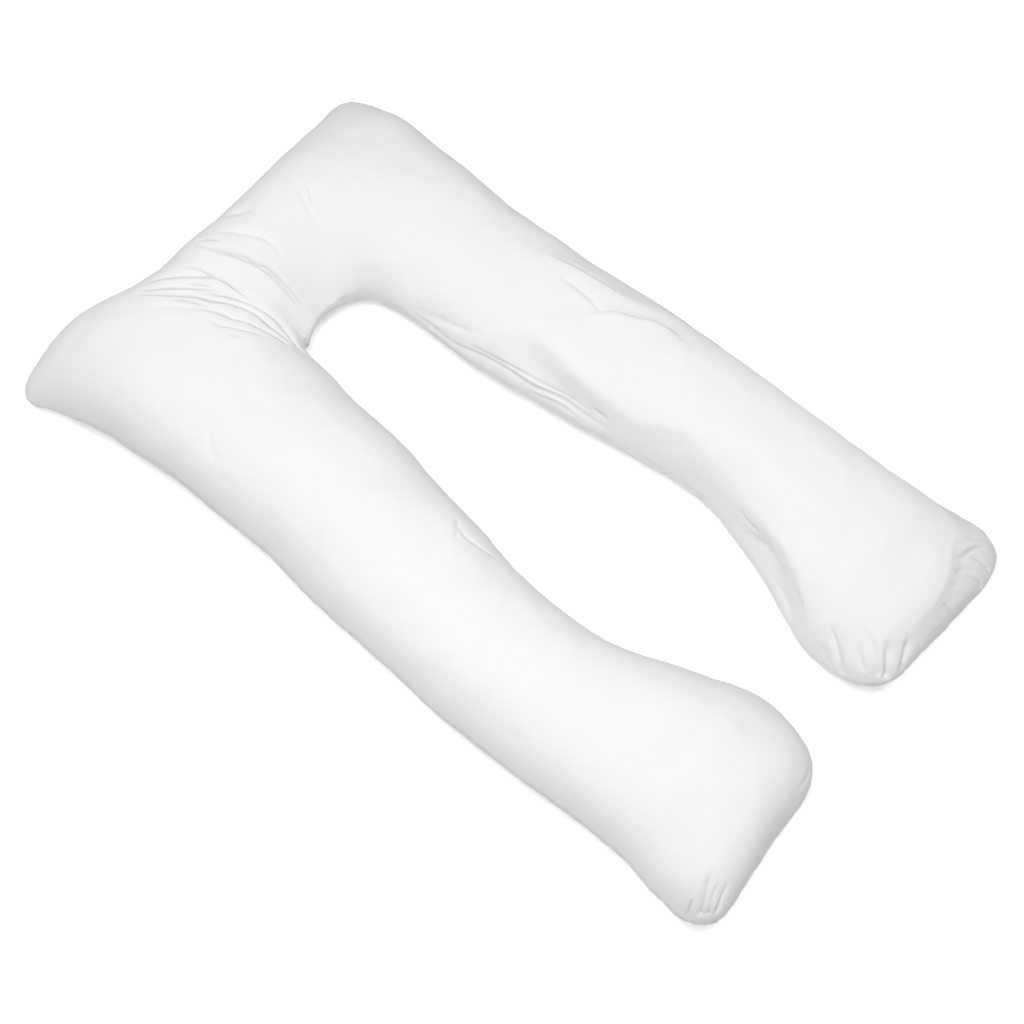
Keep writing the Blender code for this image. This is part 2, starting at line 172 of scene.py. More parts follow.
def stuffed_height(plan):
    """Root of the bulge of a membrane that is held at the seam and pushed by an even load.

    At the middle of a long strip it is half the strip's width.
    """
    rows, cols = plan.shape[:2]
    number = np.arange(rows * cols).reshape(rows, cols)
    a, b = number[:-1, :-1].ravel(), number[1:, :-1].ravel()
    c, d = number[1:, 1:].ravel(), number[:-1, 1:].ravel()
    triangles = np.concatenate((np.stack((a, b, c), 1), np.stack((a, c, d), 1),
                                np.stack((a, b, d), 1), np.stack((b, c, d), 1)))
    corners = plan.reshape(-1, 2)[triangles]
    edges = np.stack([corners[:, (k + 2) % 3] - corners[:, (k + 1) % 3] for k in range(3)], 1)
    area = 0.5 * np.abs(edges[:, 0, 0] * edges[:, 1, 1] - edges[:, 0, 1] * edges[:, 1, 0])
    stiffness = np.zeros((rows * cols, rows * cols))
    load = np.zeros(rows * cols)
    for p in range(3):
        np.add.at(load, triangles[:, p], 2 * area / 3)
        for q in range(3):
            share = (edges[:, p] * edges[:, q]).sum(1) / (4 * area)
            np.add.at(stiffness, (triangles[:, p], triangles[:, q]), share)
    inside = number[1:-1, 1:-1].ravel()
    bulge = np.zeros(rows * cols)
    bulge[inside] = np.linalg.solve(stiffness[np.ix_(inside, inside)], load[inside])
    return np.sqrt(np.maximum(bulge, 0.0)).reshape(rows, cols)


def crown(height):
    """Rise of the upper panel: steep at the seam, and held down by the cloth further in."""
    share = STEEPNESS * height / CROWN_LIMIT
    return CROWN_LIMIT * share / np.cbrt(1 + share ** 3)


def panel_heights(stations, plan):
    """Heights of the upper and the lower panel at every point of the plan."""
    height = stuffed_height(plan)
    typical = np.median(height[:, CROSS_CELLS // 2])
    inner_z, outer_z, fill = (stations[:, k][:, None] for k in (2, 5, 6))
    inner_slack, outer_slack = (stations[:, k][:, None] for k in (7, 8))
    across = np.linspace(0.0, 1.0, CROSS_CELLS + 1)[None, :]
    seam = inner_z + (outer_z - inner_z) * across ** SEAM_TURN
    inner_slack = np.maximum(inner_slack, 0.0) * (1 - across) ** SLACK_FADE
    outer_slack = np.maximum(outer_slack, 0.0) * across ** SLACK_FADE
    height = height * (height / typical) ** (inner_slack + outer_slack)
    upper = seam + fill * (1 - inner_slack) * crown(height)
    lower = np.maximum(0.0, seam - (seam + SINK) * height / typical)
    return upper, lower


def cut_pattern(plan, height):
    """Where each point lay on the flat cloth before it was stuffed, in metres."""
    places = np.dstack((plan, height))
    steps = np.linalg.norm(np.diff(places, axis=1), axis=2)
    travelled = np.concatenate((np.zeros((len(plan), 1)), np.cumsum(steps, axis=1)), axis=1)
    middle = CROSS_CELLS // 2
    across = plan[:, -1] - plan[:, 0]
    across /= np.linalg.norm(across, axis=1)[:, None]
    from_middle = travelled - travelled[:, middle][:, None]
    return plan[:, middle][:, None] + from_middle[:, :, None] * across[:, None]


def stuffed_panels():
    """The two panels, bulged by the filling and sewn together at their edge."""
    stations = cross_sections()
    plan = plan_grid(stations)
    rows, cols = plan.shape[:2]
    bm = bmesh.new()
    uv = bm.loops.layers.uv.new("cut")
    for height in panel_heights(stations, plan):
        flat = cut_pattern(plan, height)
        sheet = bmesh.ops.create_grid(bm, x_segments=cols - 1, y_segments=rows - 1, size=0.5)
        for k, vert in enumerate(sheet["verts"]):
            i, j = divmod(k, cols)
            vert.co = (plan[i, j, 0], plan[i, j, 1], height[i, j])
            for loop in vert.link_loops:
                loop[uv].uv = flat[i, j]
    for edge in bm.edges:
        edge.seam = edge.is_boundary
    bmesh.ops.remove_doubles(bm, verts=bm.verts, dist=SEW_DISTANCE)
    bmesh.ops.recalc_face_normals(bm, faces=bm.faces)
    return bm


def smoother(piece):
    """Replace the piece's mesh with one that is subdivided once and smoothed."""
    modifier = piece.modifiers.new("smoother", "SUBSURF")
    modifier.levels = modifier.render_levels = 1
    graph = bpy.context.evaluated_depsgraph_get()
    mesh = bpy.data.meshes.new_from_object(piece.evaluated_get(graph))
    piece.modifiers.clear()
    piece.data = mesh


def points_of(mesh):
    points = np.zeros(len(mesh.vertices) * 3)
    mesh.vertices.foreach_get("co", points)
    return points.reshape(-1, 3)


def normals_of(mesh):
    normals = np.zeros(len(mesh.vertices) * 3)
    mesh.vertices.foreach_get("normal", normals)
    return normals.reshape(-1, 3)


def move_points(mesh, points):
    mesh.vertices.foreach_set("co", points.ravel())
    mesh.update()


def split_faces(mesh, wanted):
    """Split each wanted face into four, and keep the cloth's curve."""
    bm = bmesh.new()
    bm.from_mesh(mesh)
    bm.faces.ensure_lookup_table()
    edges = {edge for k in np.flatnonzero(wanted) for edge in bm.faces[k].edges}
    bmesh.ops.subdivide_edges(bm, edges=list(edges), cuts=1, smooth=1.0, smooth_falloff="LINEAR",
                              use_grid_fill=True, use_single_edge=True)
    bm.to_mesh(mesh)
    bm.free()


def face_middles(mesh):
    middles = np.zeros(len(mesh.polygons) * 3)
    mesh.polygons.foreach_get("center", middles)
    return middles.reshape(-1, 3)


def face_widths(mesh):
    areas = np.zeros(len(mesh.polygons))
    mesh.polygons.foreach_get("area", areas)
    return np.sqrt(areas)


panels = stuffed_panels()
pillow_mesh = bpy.data.meshes.new("body_pillow")
panels.to_mesh(pillow_mesh)
panels.free()
pillow = bpy.data.objects.new("body_pillow", pillow_mesh)
bpy.context.collection.objects.link(pillow)
smoother(pillow)
low, high = points_of(pillow.data).min(0), points_of(pillow.data).max(0)
middle = np.array(((low[0] + high[0]) / 2, (low[1] + high[1]) / 2, 0.0))
move_points(pillow.data, points_of(pillow.data) - middle)
split_faces(pillow.data, face_middles(pillow.data)[:, 2] > SHOWING)


# The folds. The filling draws the cloth tight between the seams, and the spare cloth gathers
# into creases: a fan of them at the crotch, long slack ones down both sides of the far leg,
# and short gathers round the corners of the feet.
FOLD_STEP = 0.006        # distance between the points that a fold is measured from
FOLD_ROUND = 0.0008      # radius at the bottom of a fold
FOLD_CELLS = 4           # cells wanted on the narrower side of a fold
FULL_STRENGTH = (0.35, 0.65)    # shares of its length between which a fold has its full depth
NARROW_FOLD = 0.008      # reach of the narrowest folds
NARROW_SHARPNESS = 2.2   # how sharply those folds' walls turn up at the bottom
WIDE_FOLD = 0.030        # reach of wide folds
WIDE_SHARPNESS = 1.4     # how sharply their walls turn up
REST_MARGIN = 0.030      # height over which folds and lumps fade out towards the resting face
HOLLOW_REACH = 0.018     # a fold that reaches further than this on both sides is a soft hollow
CREASE_REACH = 0.009     # a fold that reaches less far than this on one side is a crease, and gets painted shade
CREASE_SHADE_WIDTH = 0.0032    # half width of the painted shade along the line where a crease's two walls meet
FULL_SHADE_DEPTH = 0.0036    # depth of a fully closed crease, whose painted shade is then full
SPLITS = [
    # how far from a fold the cloth is cut finer, and how wide its cells have to be for that
    (0.011, 0.0022),
    (0.004, 0.0014),
]

# x and y of the points that each fold passes through, how far it reaches on its left and on
# its right, its depth (a ridge has a negative one), and its strength at its first and at its
# last point
FOLDS = [
    # the hollow between the near leg and the head bar
    (((-0.085, 0.630), (-0.060, 0.540), (-0.037, 0.450), (-0.032, 0.400)),
     0.050, 0.120, 0.0130, 0.5, 0.6),
    # creases that fan out from the crotch over the head bar
    (((-0.141, 0.444), (-0.132, 0.431), (-0.125, 0.417)), 0.008, 0.008, 0.0012, 0.0, 0.0),
    (((-0.139, 0.481), (-0.134, 0.462), (-0.124, 0.446), (-0.109, 0.422), (-0.095, 0.399)),
     0.012, 0.005, 0.0026, 0.2, 0.2),
    (((-0.140, 0.521), (-0.117, 0.482), (-0.110, 0.459), (-0.099, 0.442), (-0.086, 0.408),
      (-0.076, 0.376)), 0.012, 0.005, 0.0030, 0.1, 0.8),
    (((-0.185, 0.575), (-0.160, 0.548), (-0.140, 0.521)), 0.016, 0.016, 0.0016, 0.0, 0.8),
    (((-0.169, 0.607), (-0.147, 0.569), (-0.118, 0.529), (-0.106, 0.505), (-0.094, 0.488),
      (-0.076, 0.447), (-0.070, 0.410), (-0.065, 0.373)), 0.012, 0.005, 0.0036, 0.3, 1.0),
    (((-0.160, 0.608), (-0.132, 0.573), (-0.105, 0.536), (-0.082, 0.505)),
     0.013, 0.005, 0.0032, 0.4, 0.1),
    (((-0.113, 0.533), (-0.089, 0.502), (-0.068, 0.465), (-0.058, 0.436), (-0.052, 0.403),
      (-0.054, 0.380)), 0.014, 0.006, 0.0046, 0.1, 1.0),
    (((-0.142, 0.619), (-0.120, 0.596), (-0.091, 0.560), (-0.066, 0.527), (-0.054, 0.513)),
     0.016, 0.007, 0.0044, 0.3, 0.0),
    (((-0.086, 0.587), (-0.078, 0.572), (-0.071, 0.540), (-0.065, 0.506), (-0.062, 0.473),
      (-0.057, 0.454)), 0.014, 0.005, 0.0038, 0.2, 0.1),
    (((-0.069, 0.506), (-0.054, 0.477)), 0.006, 0.006, 0.0018, 0.0, 0.0),
    (((-0.047, 0.604), (-0.041, 0.580), (-0.032, 0.552), (-0.019, 0.511), (-0.008, 0.468),
      (-0.006, 0.436), (-0.006, 0.419)), 0.010, 0.008, 0.0044, 0.3, 0.4),
    (((-0.023, 0.531), (-0.015, 0.517), (-0.014, 0.497), (-0.007, 0.489), (-0.003, 0.462),
      (0.000, 0.434), (0.000, 0.415)), 0.009, 0.004, 0.0030, 0.3, 0.3),
    (((-0.038, 0.605), (-0.028, 0.593), (-0.017, 0.566)), 0.009, 0.005, 0.0024, 0.4, 0.0),
    (((-0.112, 0.560), (-0.096, 0.538), (-0.085, 0.520)), 0.010, 0.005, 0.0022, 0.0, 0.0),
    (((-0.150, 0.560), (-0.130, 0.530), (-0.119, 0.500)), 0.010, 0.005, 0.0020, 0.0, 0.0),
    (((-0.004, 0.590), (0.015, 0.552), (0.029, 0.518), (0.029, 0.478)),
     0.016, 0.010, 0.0034, 0.3, 0.0),
    (((0.020, 0.625), (0.037, 0.599), (0.063, 0.568)), 0.020, 0.014, 0.0046, 0.5, 0.0),
    (((-0.050, 0.400), (-0.056, 0.372), (-0.060, 0.345)), 0.012, 0.012, 0.0050, 0.6, 0.3),
    # light wrinkles on the far half of the head bar
    (((0.086, 0.570), (0.086, 0.540)), 0.010, 0.010, 0.0018, 0.0, 0.0),
    (((0.150, 0.567), (0.117, 0.502), (0.107, 0.458)), 0.012, 0.012, 0.0026, 0.0, 0.2),
    (((0.149, 0.541), (0.123, 0.500)), 0.008, 0.008, 0.0016, 0.0, 0.0),
    # slack creases along the inner side of the far leg
    (((0.109, 0.298), (0.108, 0.247), (0.109, 0.190), (0.116, 0.140), (0.120, 0.087),
      (0.121, 0.051), (0.130, -0.010), (0.133, -0.050), (0.138, -0.092)),
     0.006, 0.012, 0.0024, 0.2, 0.3),
    (((0.110, 0.066), (0.120, 0.017), (0.126, -0.030), (0.127, -0.050)),
     0.004, 0.007, 0.0018, 0.1, 0.1),
    (((0.116, 0.177), (0.120, 0.143), (0.125, 0.073)), 0.005, 0.008, 0.0018, 0.1, 0.1),
    (((0.113, 0.275), (0.119, 0.230), (0.127, 0.190), (0.137, 0.150)),
     0.014, 0.012, 0.0022, 0.2, 0.0),
    (((0.142, 0.130), (0.140, 0.070), (0.138, 0.010), (0.139, -0.050), (0.145, -0.095)),
     0.050, 0.034, 0.0055, 0.0, 0.2),
    (((0.118, 0.150), (0.124, 0.100), (0.128, 0.050), (0.134, 0.000), (0.140, -0.050)),
     0.005, 0.004, 0.0014, 0.0, 0.3),
    (((0.144, -0.057), (0.145, -0.069), (0.145, -0.089)), 0.005, 0.005, 0.0022, 0.1, 0.1),
    # the inner edge of the far leg's flat top, and the hollow below it
    (((0.190, 0.130), (0.184, 0.092), (0.176, 0.049), (0.170, 0.008), (0.165, -0.023),
      (0.164, -0.066), (0.164, -0.102), (0.165, -0.129)), 0.070, 0.034, -0.0080, 0.1, 0.3),
    (((0.166, -0.110), (0.170, -0.136), (0.185, -0.170), (0.197, -0.205), (0.190, -0.235),
      (0.178, -0.275)), 0.050, 0.032, -0.0055, 0.2, 0.2),
    # the outer edge of the far leg's flat top, and slack creases along it
    (((0.289, 0.190), (0.304, 0.144), (0.309, 0.108), (0.314, 0.063), (0.316, 0.028),
      (0.328, -0.011), (0.345, -0.034)), 0.030, 0.075, -0.0090, 0.1, 0.2),
    (((0.304, 0.160), (0.313, 0.108), (0.318, 0.063), (0.321, 0.028)),
     0.016, 0.008, 0.0030, 0.1, 0.2),
    (((0.279, 0.120), (0.280, 0.084), (0.277, 0.053), (0.271, 0.032)),
     0.020, 0.008, 0.0022, 0.1, 0.6),
    (((0.270, 0.027), (0.289, 0.007), (0.300, -0.017), (0.312, -0.040), (0.321, -0.073),
      (0.315, -0.101)), 0.034, 0.010, 0.0048, 0.4, 0.2),
    (((0.262, 0.030), (0.283, 0.009), (0.294, -0.017), (0.306, -0.040), (0.315, -0.073),
      (0.310, -0.101)), 0.020, 0.070, -0.0060, 0.3, 0.2),
    (((0.240, -0.072), (0.254, -0.096), (0.280, -0.115)), 0.016, 0.016, 0.0020, 0.3, 0.3),
    (((0.350, -0.060), (0.347, -0.200), (0.342, -0.320), (0.340, -0.450), (0.348, -0.570)),
     0.022, 0.070, -0.0090, 0.2, 0.4),
    # the hollow above the inner side of the far foot, and small creases in it
    (((0.168, -0.320), (0.155, -0.378), (0.146, -0.411), (0.133, -0.448), (0.118, -0.477),
      (0.100, -0.499), (0.088, -0.512)), 0.060, 0.034, -0.0090, 0.1, 0.3),
    (((0.146, -0.330), (0.128, -0.400), (0.098, -0.465), (0.070, -0.505)),
     0.034, 0.022, 0.0030, 0.2, 0.3),
    (((0.157, -0.335), (0.146, -0.372), (0.140, -0.400)), 0.006, 0.006, 0.0018, 0.1, 0.1),
    (((0.150, -0.350), (0.141, -0.385)), 0.005, 0.005, 0.0014, 0.0, 0.0),
    (((0.136, -0.353), (0.134, -0.388), (0.126, -0.422), (0.112, -0.454)),
     0.012, 0.012, 0.0020, 0.0, 0.0),
    (((0.103, -0.444), (0.090, -0.474), (0.076, -0.499)), 0.016, 0.016, 0.0030, 0.0, 0.3),
    (((0.103, -0.483), (0.091, -0.503), (0.074, -0.508)), 0.012, 0.012, 0.0022, 0.2, 0.3),
    # gathers round the inner and the outer corner of the far foot
    (((0.066, -0.560), (0.051, -0.590)), 0.010, 0.010, 0.0030, 0.0, 0.8),
    (((0.089, -0.556), (0.070, -0.585), (0.054, -0.608)), 0.012, 0.010, 0.0046, 0.0, 1.0),
    (((0.112, -0.597), (0.097, -0.628), (0.080, -0.655)), 0.011, 0.010, 0.0040, 0.0, 1.0),
    (((0.086, -0.606), (0.070, -0.632)), 0.009, 0.009, 0.0030, 0.0, 1.0),
    (((0.121, -0.636), (0.103, -0.653), (0.083, -0.668)), 0.012, 0.010, 0.0068, 0.1, 1.0),
    (((0.146, -0.658), (0.127, -0.669), (0.106, -0.678)), 0.012, 0.010, 0.0052, 0.1, 1.0),
    (((0.130, -0.650), (0.200, -0.656), (0.260, -0.645), (0.300, -0.624), (0.352, -0.608)),
     0.060, 0.026, -0.0050, 0.2, 0.2),
    (((0.292, -0.642), (0.306, -0.647), (0.322, -0.649), (0.345, -0.656)),
     0.008, 0.012, 0.0034, 0.1, 0.4),
    (((0.268, -0.650), (0.284, -0.660), (0.297, -0.676), (0.304, -0.690)),
     0.010, 0.010, 0.0034, 0.0, 0.9),
    (((0.246, -0.655), (0.260, -0.672), (0.268, -0.688)), 0.009, 0.009, 0.0026, 0.0, 0.8),
    (((0.312, -0.652), (0.324, -0.668), (0.330, -0.684)), 0.009, 0.009, 0.0036, 0.1, 0.9),
    (((0.220, -0.664), (0.228, -0.684)), 0.008, 0.008, 0.0018, 0.0, 0.7),
    (((0.323, -0.632), (0.345, -0.640), (0.366, -0.655)), 0.011, 0.011, 0.0024, 0.0, 0.8),
    # gathers round the outer and the inner corner of the near foot
    (((-0.332, -0.652), (-0.355, -0.661), (-0.376, -0.672)), 0.010, 0.010, 0.0060, 0.1, 1.0),
    (((-0.339, -0.667), (-0.358, -0.674), (-0.369, -0.680)), 0.006, 0.006, 0.0034, 0.2, 1.0),
    (((-0.328, -0.676), (-0.348, -0.683), (-0.360, -0.687)), 0.008, 0.008, 0.0044, 0.2, 1.0),
    (((-0.370, -0.652), (-0.388, -0.657)), 0.006, 0.006, 0.0026, 0.0, 0.6),
    (((-0.104, -0.659), (-0.125, -0.668), (-0.154, -0.671)), 0.010, 0.010, 0.0024, 0.2, 0.2),
    # small wrinkles and a dent on the near leg
    (((-0.149, -0.033), (-0.160, -0.057), (-0.157, -0.085), (-0.150, -0.121)),
     0.010, 0.010, 0.0022, 0.4, 0.1),
    (((-0.146, -0.033), (-0.183, -0.060)), 0.009, 0.009, 0.0014, 0.5, 0.0),
    (((-0.269, 0.355), (-0.298, 0.330), (-0.310, 0.301)), 0.014, 0.014, 0.0014, 0.0, 0.0),
    (((-0.188, 0.371), (-0.195, 0.329), (-0.195, 0.274)), 0.026, 0.026, 0.0026, 0.2, 0.2),
]


def fold_line(path, surface):
    """Points along a fold, laid on the upper panel."""
    gaps = np.diff(np.array(path), axis=0)
    lengths = np.hypot(gaps[:, 0], gaps[:, 1])
    line = []
    for x, y in smooth_curve(path, lengths, [FOLD_STEP] * len(lengths)):
        hit = surface.ray_cast(Vector((x, y, 1.0)), Vector((0.0, 0.0, -1.0)))[0]
        if hit is not None:
            line.append(tuple(hit))
    return np.array(line)


def laid_folds(mesh):
    """Every fold's points on the cloth, with the rest of its row of the table."""
    faces = [tuple(face.vertices) for face in mesh.polygons]
    surface = BVHTree.FromPolygons([tuple(p) for p in points_of(mesh)], faces)
    return [(fold_line(path, surface), shape) for path, *shape in FOLDS]


def beside_line(points, line):
    """Distance of each point to a line, which side it is on, and how far along it lies."""
    start, run = line[:-1], np.diff(line, axis=0)
    offset = points[:, None] - start[None]
    f = np.clip((offset * run).sum(2) / (run * run).sum(1), 0.0, 1.0)
    away = offset - f[:, :, None] * run
    distance = np.linalg.norm(away, axis=2)
    nearest = distance.argmin(axis=1)
    every = np.arange(len(points))
    away, run = away[every, nearest], run[nearest]
    on_left = run[:, 0] * away[:, 1] - run[:, 1] * away[:, 0] > 0
    return distance[every, nearest], on_left, (nearest + f[every, nearest]) / len(start)


def near_line(points, line, reach):
    """Numbers of the points in the box that holds the line and its reach."""
    return np.flatnonzero(np.all((points > line.min(0) - reach) & (points < line.max(0) + reach),
                                 axis=1))


def split_along_folds(mesh, folds, reach, finest):
    """Split the faces beside the folds that are too wide to show them."""
    middles, widths = face_middles(mesh), face_widths(mesh)
    wanted = np.zeros(len(middles), bool)
    for line, (left, right, *_) in folds:
        near = near_line(middles, line, reach)
        near = near[widths[near] > max(finest, min(left, right) / FOLD_CELLS)]
        distance = beside_line(middles[near], line)[0]
        wanted[near[distance < reach]] = True
    split_faces(mesh, wanted)


def press_folds(mesh, folds):
    """Push the cloth in along each fold, square to its surface, and paint shade along the narrow
    creases.
    """
    points, normals = points_of(mesh), normals_of(mesh)
    pressed = np.zeros(len(points))
    painted_shade = np.zeros(len(points))
    for line, (left, right, depth, first, last) in folds:
        near = near_line(points, line, max(left, right))
        distance, on_left, place = beside_line(points[near], line)
        strength = np.interp(place, (0.0, *FULL_STRENGTH, 1.0), (first, 1.0, 1.0, last))
        rounded = np.sqrt(distance ** 2 + FOLD_ROUND ** 2) - FOLD_ROUND
        reach = np.where(on_left, left, right)
        share = np.clip(1 - rounded / reach, 0.0, 1.0)
        hollow = depth > 0.0 and min(left, right) >= HOLLOW_REACH
        sharpness = np.interp(reach, (NARROW_FOLD, WIDE_FOLD),
                              (NARROW_SHARPNESS, WIDE_SHARPNESS))
        profile = share * share * (3 - 2 * share) if hollow else share ** sharpness
        pressed[near] += depth * strength * profile
        # Painted shade: the bottom of each narrow crease gets a darker mark, which goes into the
        # cloth's colour.
        if depth > 0.0 and min(left, right) < CREASE_REACH:
            shade_line = np.clip(1 - distance / CREASE_SHADE_WIDTH, 0.0, 1.0)
            shade_amount = min(depth / FULL_SHADE_DEPTH, 1.0) * strength * shade_line
            painted_shade[near] = np.maximum(painted_shade[near], shade_amount)
    above_rest = np.clip(points[:, 2] / REST_MARGIN, 0.0, 1.0)
    move_points(mesh, points - normals * (pressed * above_rest)[:, None])
    shade_layer = mesh.attributes.new("crease_shade", "FLOAT", "POINT")
    shade_layer.data.foreach_set("value", (painted_shade * above_rest).astype(np.float32))


folds = laid_folds(pillow.data)
for reach, finest in SPLITS:
    split_along_folds(pillow.data, folds, reach, finest)
press_folds(pillow.data, folds)


# The seam and the lumps. The panels are sewn inside out, so the seam lies in a narrow groove
# and the cloth puckers beside it. The fibre filling is uneven, which shows as low lumps, and
# the pillow's own weight flattens it where it rests.
SEAM_DEPTH = 0.0018      # depth of the groove along the seam
SEAM_WIDTH = 0.0022      # its half width
SEAM_POINTS = 0.002      # distance between the points that the seam is measured from
PUCKER_HEIGHT = 0.0040   # height of the puckers at the seam
PUCKER_LENGTH = 0.015    # how far they reach into the panels
PUCKER_STEP = 0.012      # how far apart they lie
PUCKER_TURN = 0.05       # how far from the seam they have changed their shape
GATHER_STEP = 0.15       # length of seam over which the puckers grow and shrink again
GATHER_MEAN = 0.6        # share of their height that they have on average
GATHER_SPREAD = 0.8      # how much that share changes along the seam
GATHER_TRACK = 5.0       # where in the noise their growth is read
PUCKER_TRACK = 3.0       # where in the noise the upper panel's are read; the lower's at minus it
LUMPS = ((0.120, 0.0050), (0.050, 0.0016), (0.020, 0.0003))    # width and height of each size


def seam_loop(mesh):
    """Points all round the seam, evenly spaced."""
    beside = {}
    for edge in mesh.edges:
        if edge.use_seam:
            first, last = edge.vertices
            beside.setdefault(first, []).append(last)
            beside.setdefault(last, []).append(first)
    start = min(beside)
    loop = [start, beside[start][0]]
    while loop[-1] != start:
        loop.append(next(k for k in beside[loop[-1]] if k != loop[-2]))
    corners = np.array([mesh.vertices[k].co for k in loop])
    along = np.concatenate(([0.0], np.cumsum(np.linalg.norm(np.diff(corners, axis=0), axis=1))))
    places = np.arange(0.0, along[-1], SEAM_POINTS)
    return np.stack([np.interp(places, along, corners[:, k]) for k in range(3)], axis=1)


def sew_and_settle(mesh):
    """Sink the seam, raise the puckers and lumps, and flatten the underside."""
    loop = seam_loop(mesh)
    tree = KDTree(len(loop))
    for k, point in enumerate(loop):
        tree.insert(point, k)
    tree.balance()
    points, normals = points_of(mesh), normals_of(mesh)
    raised = np.zeros(len(points))
    for k, point in enumerate(points):
        nearest, distance = tree.find(point)[1:]
        place = nearest * SEAM_POINTS
        change = noise.noise(Vector((place / GATHER_STEP, GATHER_TRACK, 0.0)))
        gather = GATHER_MEAN + GATHER_SPREAD * change
        track = PUCKER_TRACK if point[2] > loop[nearest][2] else -PUCKER_TRACK
        ripple = noise.noise(Vector((place / PUCKER_STEP, track, distance / PUCKER_TURN)))
        raised[k] += PUCKER_HEIGHT * gather * ripple * exp(-distance / PUCKER_LENGTH)
        raised[k] -= SEAM_DEPTH * exp(-(distance / SEAM_WIDTH) ** 2)
        for size, height in LUMPS:
            raised[k] += height * noise.noise(Vector(point) / size)
    above_rest = np.clip(points[:, 2] / REST_MARGIN, 0.0, 1.0)
    points = points + normals * (raised * above_rest)[:, None]
    points[:, 2] = np.maximum(points[:, 2], 0.0)
    move_points(mesh, points)


sew_and_settle(pillow.data)
pillow.data.shade_smooth()


# The cotton cover. It is white plain-weave cotton, matt with a faint nap, and its threads run
# along and across the flat panels. Soft crumples, left from packing, mottle it.
THREADS = 2600.0         # threads to a metre
THREAD_RELIEF = 0.00006  # height of a thread over the gaps between threads
THREAD_ROUND = 0.4       # how gently a thread dips at its ends: the smaller, the flatter it lies
THREAD_COLOUR = (0.83, 0.83, 0.828, 1.0)
GAP_SHADE_COLOUR = (0.78, 0.78, 0.778, 1.0)      # painted shade between the threads
CRUMPLES = [
    # width and height of each size, in metres
    (0.035, 0.00150),
    (0.012, 0.00035),
]
CREASE_SHADE_COLOUR = (0.62, 0.62, 0.62, 1.0)    # painted shade at the bottom of a crease, where the cloth meets


def node(tree, kind, **settings):
    made = tree.nodes.new(kind)
    for name, value in settings.items():
        setattr(made, name, value)
    return made


def math_node(tree, operation, first, second=None):
    """A math node on two values, which are either sockets or numbers."""
    made = node(tree, "ShaderNodeMath", operation=operation)
    for socket, value in zip(made.inputs, (first, second)):
        if isinstance(value, bpy.types.NodeSocket):
            tree.links.new(value, socket)
        elif value is not None:
            socket.default_value = value
    return made.outputs[0]


def plain_weave():
    """Height of a plain weave, from 0 in the gaps to 1 on the threads."""
    group = bpy.data.node_groups.new("plain_weave", "ShaderNodeTree")
    group.interface.new_socket("Place", in_out="INPUT", socket_type="NodeSocketVector")
    group.interface.new_socket("Threads", in_out="INPUT", socket_type="NodeSocketFloat")
    group.interface.new_socket("Height", in_out="OUTPUT", socket_type="NodeSocketFloat")
    given = node(group, "NodeGroupInput")
    result = node(group, "NodeGroupOutput")
    split = node(group, "ShaderNodeSeparateXYZ")
    group.links.new(given.outputs["Place"], split.inputs[0])
    waves = []
    for axis in (0, 1):
        turns = math_node(group, "MULTIPLY", split.outputs[axis], given.outputs["Threads"])
        waves.append(math_node(group, "SINE", math_node(group, "MULTIPLY", turns, pi)))
    warp, weft = (math_node(group, "ABSOLUTE", wave) for wave in waves)
    warp_dip = math_node(group, "POWER", weft, THREAD_ROUND)
    weft_dip = math_node(group, "POWER", warp, THREAD_ROUND)
    warp_over = math_node(group, "MULTIPLY", warp, warp_dip)
    weft_over = math_node(group, "MULTIPLY", weft, weft_dip)
    over = math_node(group, "GREATER_THAN", math_node(group, "MULTIPLY", waves[0], waves[1]), 0.0)
    mix = node(group, "ShaderNodeMix", data_type="FLOAT")
    group.links.new(over, mix.inputs[0])
    group.links.new(weft_over, mix.inputs[2])
    group.links.new(warp_over, mix.inputs[3])
    group.links.new(mix.outputs[0], result.inputs["Height"])
    return group


